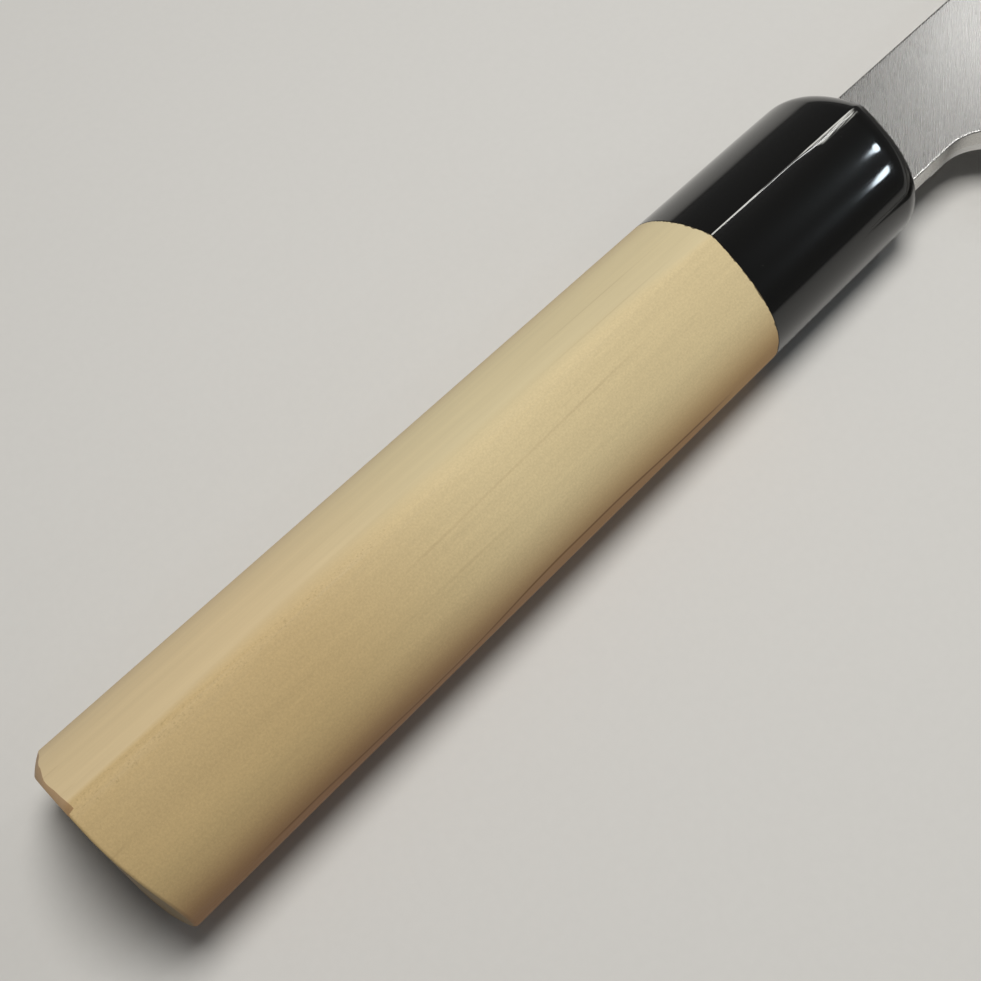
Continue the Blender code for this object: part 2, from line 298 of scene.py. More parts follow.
def wood_ridge(x):
    """The ridge is crisp at the joint and worn rounder from there to the butt."""
    share = eased((WOOD_LENGTH - x) / WOOD_RIDGE_OPENS)
    width = WOOD_RIDGE_FRONT + share * (WOOD_RIDGE_BACK - WOOD_RIDGE_FRONT)
    return width, width


def rim_ease(y, z):
    """How wide the butt's rim is eased at a place on it, and how flat that ease is."""
    angle = math.degrees(math.atan2(z, y))
    for (before, width_before), (after, width_after) in zip(SANDED_RIM, SANDED_RIM[1:]):
        if before <= angle <= after:
            share = eased((angle - before) / (after - before))
            return width_before + share * (width_after - width_before), SANDED_FLAT
    return RIM_EASE, 0.0


def crown(verts):
    """Let the points of the butt's end fall back towards the edge side."""
    for vert in verts:
        past = max(0.0, -vert.co.y - CROWN_START) / (BUTT_EDGE_REACH - CROWN_START)
        vert.co.x += CROWN_DROP * past ** 2


def ease_rim(verts, turn):
    """Draw a ring in over the eased rim, from the end at no turn to the side at a right angle."""
    even = turn / (math.pi / 2)
    for vert in verts:
        width, flat = rim_ease(vert.co.y, vert.co.z)
        drawn_in = width * ((1 - flat) * (1 - math.sin(turn)) + flat * (1 - even))
        reach = BUTT_SPINE_REACH if vert.co.y > 0 else BUTT_EDGE_REACH
        depth = BUTT_RIDGE if vert.co.z > 0 else BUTT_BACK
        vert.co.x = width * ((1 - flat) * (1 - math.cos(turn)) + flat * even)
        vert.co.y *= 1 - drawn_in / reach
        vert.co.z *= 1 - drawn_in / depth


def make_handle():
    """The wooden body from butt to slot."""
    bm = bmesh.new()
    ring = start_ring(bm)
    place_ring(bm, ring, 0.0, END_INSETS[0])
    bmesh.ops.edgeloop_fill(bm, edges=ring)
    for inset in END_INSETS[1:]:
        ring = next_ring(bm, ring, 0.0, inset)
    rim = []
    for step in range(RIM_STEPS + 1):
        ring = next_ring(bm, ring, 0.0)
        rim.append(ring_points(ring))
    butt_end = bm.verts[:]
    for step in range(1, WOOD_RINGS + 1):
        ring = next_ring(bm, ring, SIDE_START + step / WOOD_RINGS * (SIDE_END - SIDE_START))
    ring = next_ring(bm, ring, WOOD_LENGTH, JOINT_EASE)
    soften_ridge(bm.verts, wood_ridge)
    for step, verts in enumerate(rim):
        ease_rim(verts, step / RIM_STEPS * math.pi / 2)
    crown(butt_end)
    tenon_inset = FERRULE_WALL + FIT_GAP
    ring = next_ring(bm, ring, WOOD_LENGTH, tenon_inset)
    ring = next_ring(bm, ring, TENON_END, tenon_inset)
    mouth = slot_mouth(bm)
    bmesh.ops.bridge_loops(bm, edges=ring + mouth)
    made = bmesh.ops.extrude_edge_only(bm, edges=mouth)
    inner = picked(made, bmesh.types.BMVert)
    bmesh.ops.translate(bm, vec=(SLOT_START - TENON_END, 0, 0), verts=inner)
    floor_edges = [edge for edge in picked(made, bmesh.types.BMEdge)
                   if all(vert in inner for vert in edge.verts)]
    bmesh.ops.edgeloop_fill(bm, edges=floor_edges)
    return finish_piece("handle_magnolia", bm)


handle = make_handle()

# %% [markdown]
# ## Ferrule
# The ferrule is a polished black cap with the handle's own section. Its front shoulders
# are turned over in a generous round, and a slot lets the blade's neck through. The skin
# starts at the bottom of the socket, comes out, folds over at the joint and runs forward.
# The slot is then sawn with a Boolean, as a saw cuts the real one. Its ridge is crisp at
# the joint and polished wider towards the front.

# %% Ferrule
SHOULDER_LENGTH = 0.0045
SHOULDER_DEPTH = 0.0044
FERRULE_RINGS = 26
SHOULDER_STEPS = 18
RIDGE_ROUND_BACK = 0.00012
RIDGE_ROUND_FRONT = 0.0006
RIDGE_ROUND_SPINE = 0.0003
RIDGE_WIDENS_FROM = 0.0145
RIDGE_WIDENS_OVER = 0.006
POLISH_START = 0.017
POLISH_DROP = 0.00006
NECK_SPINE_LEVEL = 0.0059
NECK_EDGE_LEVEL = -0.0099
BLADE_THICKNESS = 0.0039
SAW_GAP = 0.00008
SAW_MARGIN = 0.005


def ferrule_ridge(x):
    """Crisp behind, and polished wider on the edge side towards the front."""
    share = eased((x - WOOD_LENGTH - RIDGE_WIDENS_FROM) / RIDGE_WIDENS_OVER)
    wide = RIDGE_ROUND_BACK + share * (RIDGE_ROUND_FRONT - RIDGE_ROUND_BACK)
    return wide, RIDGE_ROUND_BACK + share * (RIDGE_ROUND_SPINE - RIDGE_ROUND_BACK)


def polish_drop(x):
    """How much more the front of the ferrule was polished away."""
    reach = (x - WOOD_LENGTH - POLISH_START) / (FERRULE_LENGTH - SHOULDER_LENGTH - POLISH_START)
    return POLISH_DROP * max(0.0, reach) ** 2 if reach < 1 else POLISH_DROP * (2 * reach - 1)


def make_saw():
    """The slot's block, as an object for the Boolean."""
    bm = bmesh.new()
    verts = bmesh.ops.create_cube(bm, size=1)["verts"]
    length = FERRULE_FRONT_WALL + SAW_MARGIN + FIT_GAP
    height = NECK_SPINE_LEVEL - NECK_EDGE_LEVEL + 2 * SAW_GAP
    bmesh.ops.scale(bm, vec=(length, height, BLADE_THICKNESS + 2 * SAW_GAP), verts=verts)
    middle = (SOCKET_END - FIT_GAP + length / 2, (NECK_SPINE_LEVEL + NECK_EDGE_LEVEL) / 2, 0)
    bmesh.ops.translate(bm, vec=middle, verts=verts)
    return finish_piece("slot_saw", bm)


def saw_out(piece, saw):
    """Cut with the saw's block, keep the result as the piece's mesh and drop the block."""
    cut = piece.modifiers.new("slot", "BOOLEAN")
    cut.object = saw
    cut.operation = "DIFFERENCE"
    cut.solver = "EXACT"
    graph = bpy.context.evaluated_depsgraph_get()
    mesh = bpy.data.meshes.new_from_object(piece.evaluated_get(graph))
    piece.modifiers.clear()
    piece.data = mesh
    bpy.data.objects.remove(saw)


def make_ferrule():
    """The black cap with its socket, round shoulders and slot."""
    bm = bmesh.new()
    ring = start_ring(bm)
    place_ring(bm, ring, SOCKET_END, FERRULE_WALL)
    bmesh.ops.edgeloop_fill(bm, edges=ring)
    ring = next_ring(bm, ring, WOOD_LENGTH, FERRULE_WALL)
    inside = set(bm.verts)
    ring = next_ring(bm, ring, WOOD_LENGTH, JOINT_EASE)
    straight = FERRULE_LENGTH - SHOULDER_LENGTH
    for step in range(FERRULE_RINGS + 1):
        x = WOOD_LENGTH + JOINT_EASE + (straight - JOINT_EASE) * step / FERRULE_RINGS
        ring = next_ring(bm, ring, x, polish_drop(x))
    depth = SHOULDER_DEPTH - polish_drop(FRONT_X)
    for step in range(1, SHOULDER_STEPS + 1):
        turn = step / SHOULDER_STEPS * math.pi / 2
        x = FRONT_X - SHOULDER_LENGTH * (1 - math.sin(turn))
        ring = next_ring(bm, ring, x, polish_drop(x) + depth * (1 - math.cos(turn)))
    outside = [vert for vert in bm.verts if vert not in inside]
    soften_ridge(outside, ferrule_ridge)
    bmesh.ops.edgeloop_fill(bm, edges=ring)
    piece = finish_piece("ferrule_black", bm)
    saw_out(piece, make_saw())
    return piece


ferrule = make_ferrule()

# %% [markdown]
# ## Blade outlines
# Three curves draw the blade in plan: the spine, the line where the flat meets the bevel,
# and the cutting edge. The length, the layers and the thickness are read from the frame,
# so that the fine pieces lie exactly where the exact ones do. Neither the blade's flat nor
# its edge shows in the photo past the neck: a usual blade of this kind is followed.

# %% Blade outlines
BLADE_HEIGHT = 0.055
BEVEL_WIDTH = 0.027
CHOIL_RADIUS = 0.0085
NECK_STRAIGHT = 0.0070
TIP_DROP = 0.0050
TIP_SPINE_CURVE = 0.075
SPINE_TIP_RISE = 0.0037
TIP_BEVEL = 0.012
TIP_THICKNESS = 0.0016
EDGE_STRAIGHT = 0.165
EDGE_STRAIGHT_FALL = 0.0008
EDGE_SWEEP = 0.028
EDGE_SWEEP_RISE = 0.042
BEVEL_STRAIGHT = 0.140
BEVEL_SWEEP = 0.050
BEVEL_SWEEP_RISE = 0.020
TRACE_STEPS = 400

body_low, body_high = map(Vector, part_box("blade_body"))
steel_low, steel_high = map(Vector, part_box("edge_steel"))
SPINE_Y, TOP_Z = body_high.y, body_high.z
TIP_X, WELD_Z = steel_high.x, steel_high.z
BACK_Z, STEEL_START = steel_low.z, steel_low.x
HEEL_X = FRONT_X + NECK_STRAIGHT + CHOIL_RADIUS
TIP_Y = SPINE_Y - TIP_DROP


def traced(start, leave, arrive, end):
    """Many points along one Bezier curve."""
    points = [Vector((*place, 0)) for place in (start, leave, arrive, end)]
    return interpolate_bezier(*points, TRACE_STEPS)


def height_at(line, x):
    """How high a traced line is at a place along the blade."""
    for before, after in zip(line, line[1:]):
        if x <= after.x:
            share = (x - before.x) / max(after.x - before.x, 1e-9)
            return before.y + max(0.0, share) * (after.y - before.y)
    return line[-1].y


curve_start = TIP_X - TIP_SPINE_CURVE
spine_line = traced((curve_start, SPINE_Y), (curve_start + TIP_SPINE_CURVE / 3, SPINE_Y),
                    (TIP_X - TIP_SPINE_CURVE / 3, TIP_Y + SPINE_TIP_RISE), (TIP_X, TIP_Y))
heel_y = SPINE_Y - BLADE_HEIGHT
edge_line = traced((HEEL_X, heel_y), (HEEL_X + EDGE_STRAIGHT, heel_y - EDGE_STRAIGHT_FALL),
                   (TIP_X - EDGE_SWEEP, TIP_Y - EDGE_SWEEP_RISE), (TIP_X, TIP_Y))
BEVEL_END = TIP_X - TIP_BEVEL
bevel_top = height_at(spine_line, BEVEL_END)
bevel_low = heel_y + BEVEL_WIDTH
bevel_line = traced((HEEL_X, bevel_low), (HEEL_X + BEVEL_STRAIGHT, bevel_low),
                    (BEVEL_END - BEVEL_SWEEP, bevel_top - BEVEL_SWEEP_RISE),
                    (BEVEL_END, bevel_top))
print("blade from heel to tip in millimetres:", round((TIP_X - HEEL_X) * 1000, 1))

# %% [markdown]
# ## Blade sections
# The blade is skinned over cross-sections, one behind the other: tang, shoulder, neck,
# hollow corner, heel, and on to the tip. Each section is a few corners, and each corner is
# turned over by its own small radius, because a smith eases every edge that a hand can
# touch. Two sections a hair apart make a step, such as the heel: in one and the same place
# they would leave faces with no area.

# %% Blade sections
EDGE_THICKNESS = 0.0003
EDGE_LEVEL = BACK_Z + EDGE_THICKNESS
CORNER_STEPS = 4
ROUNDNESS = 0.6
EASE_AT_MOST = 0.4
HOLD = 0.00006
HOLD_AT_MOST = 0.45
SHARP = 0.0
STEP = 0.00003
SKIN_MERGE = 2e-6
BLADE_CREASE = 22
TIP_CUT = 0.00004


def top_at(x):
    """The level of the blade's flat, which falls from the ferrule to the tip."""
    fall = (BLADE_THICKNESS - TIP_THICKNESS) / (TIP_X - FRONT_X)
    return TOP_Z - fall * max(0.0, x - FRONT_X)


def spine_level(x):
    """The level of the spine's upper corner, ground down past the end of the flat."""
    if x <= BEVEL_END:
        return top_at(x)
    share = (x - BEVEL_END) / TIP_BEVEL
    return top_at(BEVEL_END) + share * (EDGE_LEVEL - top_at(BEVEL_END))


def turned(before, corner, after, radius):
    """Points round one corner of a section, with a holding point on either side."""
    if radius == SHARP:
        return [corner] * (CORNER_STEPS + 2)
    ends, holds = [], []
    for side in (before - corner, after - corner):
        ease = min(radius, side.length * EASE_AT_MOST)
        hold = min(ease + HOLD, side.length * HOLD_AT_MOST)
        ends.append(corner + side.normalized() * ease)
        holds.append(corner + side.normalized() * hold)
    first, last = ends
    arc = interpolate_bezier(first, first.lerp(corner, ROUNDNESS), last.lerp(corner, ROUNDNESS),
                             last, CORNER_STEPS)
    return [holds[0], *arc, holds[1]]


def section_points(x, corners):
    """All points of a section from its corners, given as Y, Z and radius."""
    places = [Vector((y, z, 0)) for y, z, radius in corners]
    ring = []
    for i, (y, z, radius) in enumerate(corners):
        ring += turned(places[i - 1], places[i], places[(i + 1) % len(places)], radius)
    return [Vector((x, point.x, point.y)) for point in ring]


def skin(name, sections):
    """Skin a row of sections, point to point, and close both ends."""
    bm = bmesh.new()
    verts = bmesh.ops.create_circle(bm, segments=len(sections[0]), radius=1)["verts"]
    edges = first = bm.edges[:]
    for vert, point in zip(verts, sections[0]):
        vert.co = point
    for section in sections[1:]:
        made = set(bmesh.ops.extrude_edge_only(bm, edges=edges)["geom"])
        verts = [next(edge.other_vert(vert) for edge in vert.link_edges
                      if edge.other_vert(vert) in made) for vert in verts]
        for vert, point in zip(verts, section):
            vert.co = point
        edges = [bm.edges.get((verts[i - 1], verts[i])) for i in range(len(verts))]
    bmesh.ops.edgeloop_fill(bm, edges=first)
    bmesh.ops.edgeloop_fill(bm, edges=edges)
    return finish_piece(name, bm, BLADE_CREASE, SKIN_MERGE)


def neck_low(x):
    """The lower outline of the neck, which turns down into the hollow corner."""
    into = (x - (HEEL_X - CHOIL_RADIUS)) / CHOIL_RADIUS
    if into <= 0:
        return NECK_EDGE_LEVEL
    return NECK_EDGE_LEVEL - CHOIL_RADIUS * (1 - math.sqrt(max(0.0, 1 - into * into)))


def bevel_at(x, level):
    """Where the bevel reaches a level."""
    top, high, low = spine_level(x), ridge_at(x), height_at(edge_line, x)
    share = (top - level) / max(top - EDGE_LEVEL, 1e-6)
    return high + min(1.0, max(0.0, share)) * (low - high)


def spine_at(x):
    """The spine in plan."""
    return SPINE_Y if x <= curve_start else height_at(spine_line, x)


def ridge_at(x):
    """The line between flat and bevel in plan, which ends on the spine."""
    return spine_at(x) if x >= BEVEL_END else height_at(bevel_line, x)


# %% Stations along the blade
CHOIL_STATIONS = 14
BLADE_STATIONS = 110


def choil_stations():
    """Places round the hollow corner, at even turns."""
    turns = [step / CHOIL_STATIONS * math.pi / 2 for step in range(CHOIL_STATIONS + 1)]
    return [HEEL_X - CHOIL_RADIUS * (1 - math.sin(turn)) for turn in turns]


def blade_stations(end):
    """Places from the heel on, closer together towards the tip."""
    shares = [math.sin(step / BLADE_STATIONS * math.pi / 2) for step in range(BLADE_STATIONS + 1)]
    start = HEEL_X + STEP
    return [start + share * (end - start) for share in shares]


# %% [markdown]
# ## Soft body of the blade
# The body is soft iron: the tang inside the handle, the neck, the flat, and the broad bevel
# down to the weld. Its neck is the one piece of steel that shows in the photo, so its edges
# are eased and its hollow corner is a true arc.

# %% Soft body
TANG_END_HALF = 0.003
TANG_ROOT_HALF = 0.005
SHOULDER_X = SOCKET_END + FIT_GAP
TANG_EASE = 0.0003
NECK_EASE = 0.00035
SPINE_EASE = 0.0003
RIDGE_EASE = 0.00025


def tang_section(x, half):
    """A plain bar."""
    places = ((half, TOP_Z), (0, TOP_Z), (-half, TOP_Z), (-half, BACK_Z), (half, BACK_Z))
    return section_points(x, [(*place, TANG_EASE) for place in places])


def neck_section(x, bottom, ease):
    """Full thickness from the spine to the neck's lower side."""
    low = neck_low(x)
    corners = [(SPINE_Y, top_at(x), SPINE_EASE), (low + 2 * NECK_EASE, top_at(x), SHARP),
               (low, top_at(x), NECK_EASE), (low, bottom, ease), (SPINE_Y, bottom, ease)]
    return section_points(x, corners)


def body_section(x):
    """Flat, bevel and weld."""
    weld = bevel_at(x, WELD_Z)
    halfway = (spine_level(x) + WELD_Z) / 2
    corners = [(spine_at(x), spine_level(x), SPINE_EASE), (ridge_at(x), spine_level(x), RIDGE_EASE),
               (bevel_at(x, halfway), halfway, SHARP), (weld, WELD_Z, SHARP),
               (spine_at(x), WELD_Z, SHARP)]
    return section_points(x, corners)


def body_end():
    """Where the bevel at the spine comes down to the weld."""
    fall = (top_at(BEVEL_END) - EDGE_LEVEL) / TIP_BEVEL
    return BEVEL_END + (top_at(BEVEL_END) - WELD_Z - TIP_CUT) / fall


def make_body():
    """The soft body from the tang's end to the tip."""
    sections = [tang_section(body_low.x, TANG_END_HALF), tang_section(SHOULDER_X, TANG_ROOT_HALF)]
    sections += [neck_section(x, BACK_Z, NECK_EASE)
                 for x in (SHOULDER_X + STEP, FRONT_X, STEEL_START)]
    sections += [neck_section(x, WELD_Z, SHARP) for x in (STEEL_START + STEP, *choil_stations())]
    sections += [body_section(x) for x in blade_stations(body_end())]
    return skin("blade_iron", sections)


blade = make_body()

# %% [markdown]
# ## Hard layer on the back
# The hard steel is a thin sheet along the whole back. Its far side is ground very slightly
# hollow inside a flat rim, so that the knife lets go of wet food and is quick to sharpen.
# The last half millimetre of the bevel is honed steeper, which leaves a bright line.

# %% Hard layer
RIM_WIDTH = 0.0022
RIM_AT_MOST = 0.3
HOLLOW_DEPTH = 0.00016
HOLLOW_POINTS = 9
HOLLOW_START = 0.004
HOLLOW_FADE = 0.030
HONED_WIDTH = 0.0006
HONED_AT_MOST = 0.1
HONED_EDGE = BACK_Z + 0.00008
HONED_TOP = EDGE_LEVEL + 0.00003


def hollow_depth(x):
    """How deep the back is hollowed at a place along the blade."""
    entering = (x - HEEL_X - HOLLOW_START) / HOLLOW_FADE
    leaving = (TIP_X - HOLLOW_FADE / 2 - x) / HOLLOW_FADE
    return HOLLOW_DEPTH * eased(min(entering, leaving))


def steel_section(x, low, weld, edge_level, honed):
    """The hard layer with its hollow back."""
    high = spine_at(x)
    rim = min(RIM_WIDTH, (high - low) * RIM_AT_MOST)
    inner_low, inner_high = low + rim, high - rim
    corners = [(high, WELD_Z, SHARP), (weld, WELD_Z, SHARP),
               (low + honed, edge_level, SHARP), (low, min(HONED_EDGE, edge_level), SHARP),
               (low, BACK_Z, SHARP)]
    for step in range(HOLLOW_POINTS):
        share = step / (HOLLOW_POINTS - 1)
        rise = hollow_depth(x) * (1 - (2 * share - 1) ** 2)
        corners.append((inner_low + share * (inner_high - inner_low), BACK_Z + rise, SHARP))
    corners.append((high, BACK_Z, NECK_EASE))
    return section_points(x, corners)


def steel_neck(x):
    """The layer under the neck."""
    low = neck_low(x)
    return steel_section(x, low, low, (WELD_Z + BACK_Z) / 2, 0)


def steel_blade(x):
    """The layer under the blade."""
    low = height_at(edge_line, x)
    honed = min(HONED_WIDTH, (spine_at(x) - low) * HONED_AT_MOST)
    weld = max(bevel_at(x, WELD_Z), low + honed)
    return steel_section(x, low, weld, HONED_TOP, honed)


def make_steel_layer():
    """The hard layer from the neck to the tip."""
    sections = [steel_neck(x) for x in (STEEL_START + STEP, *choil_stations())]
    sections += [steel_blade(x) for x in blade_stations(TIP_X - TIP_CUT)]
    return skin("edge_layer", sections)


layer = make_steel_layer()

# %% [markdown]
# ## Tools for the finishes
# A finish is a small network of nodes that turns a place on a piece into a colour, a
# roughness and a bump. It could be drawn by hand in the node editor. Short helpers that
# each add one kind of node keep the recipes readable, and give every pattern a real size
# in metres.

# %% Node helpers


def new_material(name, base, roughness, metallic=0.0):
    """A material, its node tree and its shader, with uniform values set on the shader itself."""
    material = bpy.data.materials.new(name)
    material.use_nodes = True
    shader = material.node_tree.nodes["Principled BSDF"]
    shader.inputs["Base Color"].default_value = (*base, 1)
    shader.inputs["Roughness"].default_value = roughness
    shader.inputs["Metallic"].default_value = metallic
    return material, material.node_tree, shader


def add_node(tree, kind, **settings):
    """A node with its properties and the values of its inputs set by name."""
    node = tree.nodes.new(kind)
    for key, value in settings.items():
        if hasattr(node, key):
            setattr(node, key, value)
        else:
            node.inputs[key.replace("_", " ")].default_value = value
    return node


def fill(tree, target, value):
    """Give an input another node's output, a colour or a number."""
    if isinstance(value, bpy.types.NodeSocket):
        tree.links.new(value, target)
    else:
        target.default_value = (*value, 1) if isinstance(value, tuple) else value


def placed(tree, size, turn=(0, 0, 0), start=(0, 0, 0)):
    """Object coordinates measured in a pattern's own size along its turned axes."""
    place = add_node(tree, "ShaderNodeTexCoord")
    mapping = add_node(tree, "ShaderNodeMapping", vector_type="TEXTURE", Scale=size,
                       Rotation=[math.radians(angle) for angle in turn], Location=start)
    fill(tree, mapping.inputs["Vector"], place.outputs["Object"])
    return mapping.outputs["Vector"]


def noise(tree, size, detail=2, roughness=0.5, distortion=0.0, turn=(0, 0, 0)):
    """Soft random variation from 0 to 1, in grains of a size along its turned axes."""
    node = add_node(tree, "ShaderNodeTexNoise", Scale=1.0, Detail=detail, Roughness=roughness,
                    Distortion=distortion)
    fill(tree, node.inputs["Vector"], placed(tree, size, turn))
    return node.outputs["Fac"]


def mixed(tree, factor, first, second, blend="MIX"):
    """Blend two colours by a factor."""
    node = add_node(tree, "ShaderNodeMix", data_type="RGBA", blend_type=blend)
    for number, value in ((0, factor), (6, first), (7, second)):
        fill(tree, node.inputs[number], value)
    return node.outputs[2]


def tinted(tree, colour, *tints):
    """Multiply a colour by others, one after the other."""
    for tint in tints:
        colour = mixed(tree, 1.0, colour, tint, "MULTIPLY")
    return colour


def maths(tree, operation, first, second=0.0, clamp=False):
    """One step of arithmetic on outputs or numbers."""
    node = add_node(tree, "ShaderNodeMath", operation=operation, use_clamp=clamp)
    for number, value in enumerate((first, second)):
        fill(tree, node.inputs[number], value)
    return node.outputs[0]


def times(tree, product, *factors):
    """The product of outputs or numbers."""
    for factor in factors:
        product = maths(tree, "MULTIPLY", product, factor)
    return product


def spread(tree, value, low, high, new_low=0.0, new_high=1.0, curve="LINEAR"):
    """Map a range of numbers to another, held at its ends."""
    node = add_node(tree, "ShaderNodeMapRange", clamp=True, interpolation_type=curve,
                    From_Min=low, From_Max=high, To_Min=new_low, To_Max=new_high)
    fill(tree, node.inputs["Value"], value)
    return node.outputs["Result"]


def bumped(tree, shader, height, strength, distance):
    """Raise or lower the surface a little by a height."""
    node = add_node(tree, "ShaderNodeBump", Strength=strength, Distance=distance)
    fill(tree, node.inputs["Height"], height)
    fill(tree, shader.inputs["Normal"], node.outputs["Normal"])


def three_numbers(tree, kind, output):
    """The X, Y and Z of what a node gives."""
    split = add_node(tree, "ShaderNodeSeparateXYZ")
    fill(tree, split.inputs["Vector"], add_node(tree, kind).outputs[output])
    return split.outputs


def axes(tree):
    """The Object coordinate's three numbers."""
    return three_numbers(tree, "ShaderNodeTexCoord", "Object")


# %% [markdown]
# ## Wood finish
# Bare magnolia is pale and even. Its growth rings show as a few fine darker lines along
# the handle, the fibres as a soft streaking, and the cut pores as tiny specks beside the
# ridge. The flank towards the edge is a little coarser. Its darker tone and the darkening
# of both flanks towards the butt are painted shade. The browner wood low on both sides is
# painted shade too, and so is the darker wood below a dark streak that runs along the side
# towards the edge. The rings are a solid pattern in Object coordinates, so the end grain
# on the butt matches the sides, as in a real block.

# %% Growth lines
RING_AXIS = (0.0, 0.060, -0.010)
RING_STRETCH = (12, 1, 1)
RING_WANDER = 0.00018
LINE_WIDTH = 0.00016
LINE_CORE = 0.3
LINE_DEPTHS = (0.11, 0.23)
LINE_FADE = 0.006
LEAN_FROM = 0.090
END_GRAIN = 0.0022
END_GRAIN_FADE = 0.0006
END_GRAIN_STRENGTH = 0.45
# Each line: radius of the ring, how it leans outwards per metre, where it starts and ends
# along the handle, and how strong it is.
GROWTH_LINES = (
    (0.0505, 0.010, 0.020, 0.070, 0.30),
    (0.0545, 0.014, 0.045, 0.085, 0.25),
    (0.0590, 0.017, 0.072, 0.097, 0.60),
    (0.0625, 0.010, 0.071, 0.094, 0.55),
    (0.0669, -0.020, 0.040, 0.084, 0.70),
    (0.0706, 0.0, 0.042, 0.058, 0.60),
)


def thin_line(tree, away, width):
    """A line with a soft border, from how far away its middle is."""
    return spread(tree, away, width * LINE_CORE, width, 1.0, 0.0, "SMOOTHSTEP")


def growth_lines(tree, x):
    """A mask of fine lines, each a year's ring in the wood, along part of the handle."""
    length = add_node(tree, "ShaderNodeVectorMath", operation="LENGTH")
    fill(tree, length.inputs[0], placed(tree, RING_STRETCH, start=RING_AXIS))
    wander = noise(tree, (0.060, 0.012, 0.012))
    broken = noise(tree, (0.006, 0.0016, 0.0016))
    shift = spread(tree, wander, 0.0, 1.0, -RING_WANDER, RING_WANDER)
    radius = maths(tree, "ADD", length.outputs["Value"], shift)
    along = maths(tree, "SUBTRACT", x, LEAN_FROM)
    on_end = spread(tree, x, END_GRAIN, END_GRAIN + END_GRAIN_FADE, END_GRAIN_STRENGTH, 0.0)
    lines = 0.0
    for ring, lean, start, end, strength in GROWTH_LINES:
        leaning = maths(tree, "SUBTRACT", radius, times(tree, along, lean))
        away = maths(tree, "ABSOLUTE", maths(tree, "SUBTRACT", leaning, ring))
        here = times(tree, spread(tree, x, start, start + LINE_FADE, 0.0, strength),
                     spread(tree, x, end - LINE_FADE, end, 1.0, 0.0))
        here = maths(tree, "MAXIMUM", here, on_end)
        line = times(tree, thin_line(tree, away, LINE_WIDTH), here)
        lines = maths(tree, "MAXIMUM", lines, line)
    uneven = spread(tree, broken, 0.35, 0.65, *LINE_DEPTHS)
    return maths(tree, "MULTIPLY", lines, uneven, clamp=True)


# %% Side streak
STREAK_WIDTH = 0.00032
STREAK_WANDER = 0.00025
STREAK_LEVELS = (0.0003, -0.0006)
STREAK_SINKS = (0.066, 0.088)
STREAK_FALL = 0.0013
STREAK_FALLS = (0.040, 0.060)
BUTT_FALL = 0.0005
BUTT_FALLS = (0.020, 0.036)
STREAK_STARTS = (0.010, 0.016)
STREAK_ENDS = (0.084, 0.090)
STREAK_SIDE = (-0.0112, -0.0108)
JUST_BELOW = (0.0003, -0.0001)


def side_streak(tree, x, y, z):
    """A dark line low on the edge side, and painted shade on the wood below it."""
    wander = spread(tree, noise(tree, (0.016, 0.004, 0.004)), 0.0, 1.0,
                    -STREAK_WANDER, STREAK_WANDER)
    level = maths(tree, "ADD", spread(tree, x, *STREAK_SINKS, *STREAK_LEVELS, "SMOOTHSTEP"),
                  wander)
    fall = maths(tree, "MINIMUM", spread(tree, x, *STREAK_FALLS, STREAK_FALL, 0.0, "SMOOTHSTEP"),
                 spread(tree, x, *BUTT_FALLS, BUTT_FALL, STREAK_FALL))
    above = maths(tree, "SUBTRACT", z, maths(tree, "SUBTRACT", level, fall))
    line = thin_line(tree, maths(tree, "ABSOLUTE", above), STREAK_WIDTH)
    # Painted shade below the line.
    below = spread(tree, above, *JUST_BELOW)
    here = times(tree, spread(tree, x, *STREAK_STARTS), spread(tree, x, *STREAK_ENDS, 1.0, 0.0),
                 spread(tree, y, *STREAK_SIDE, 1.0, 0.0))
    return times(tree, line, here), times(tree, below, here)


# %% Tones of the flanks and sides, with painted shade
MOST_NOISE = (0.3, 0.7)
BORDER_SINKS = (0.080, 0.097)
BORDER_LEVELS = (0.0009, 0.0001)
SOFT, CRISP = 0.0012, 0.0003
SOFTENS = (0.010, 0.030)
CRISPENS = (0.075, 0.097)
# The edge-side flank's darker, yellower tone is painted shade.
TOP_WOOD = (0.638, 0.540, 0.332)
EDGE_FLANK_SHADED_WOOD = (0.632, 0.512, 0.290)
# Painted shade: both flanks darken towards the butt, the edge-side flank most.
BUTT_SHADE_TOP = (0.985, 0.915, 0.880)
BUTT_SHADE_LOW = (0.815, 0.735, 0.630)
BUTT_SHADE_FROM = (0.062, 0.024)
# Painted shade: the wood low on both sides is browner, most towards the butt.
LOW_SHADE_LEVELS = (0.0068, -0.0015)
LOW_SHADE_SHARE = 0.82
LOW_SHADE_FADES = (0.030, 0.085)
LOW_SHADE_AT_BUTT = (0.300, 0.135, 0.050)
LOW_SHADE_IN_FRONT = (0.490, 0.260, 0.085)
LOW_SHADE_SPINE_SIDE = (0.50, 0.36, 0.20)
WHITE = (1.0, 1.0, 1.0)


def edge_flank(tree, x, y):
    """The share of a place that is on the ridge's edge side, with a soft border."""
    border = spread(tree, x, *BORDER_SINKS, *BORDER_LEVELS, "SMOOTHSTEP")
    soft = maths(tree, "MINIMUM", spread(tree, x, *SOFTENS, CRISP, SOFT),
                 spread(tree, x, *CRISPENS, SOFT, CRISP))
    past = maths(tree, "SUBTRACT", maths(tree, "ADD", border, soft), y)
    return maths(tree, "DIVIDE", past, times(tree, soft, 2.0), clamp=True)


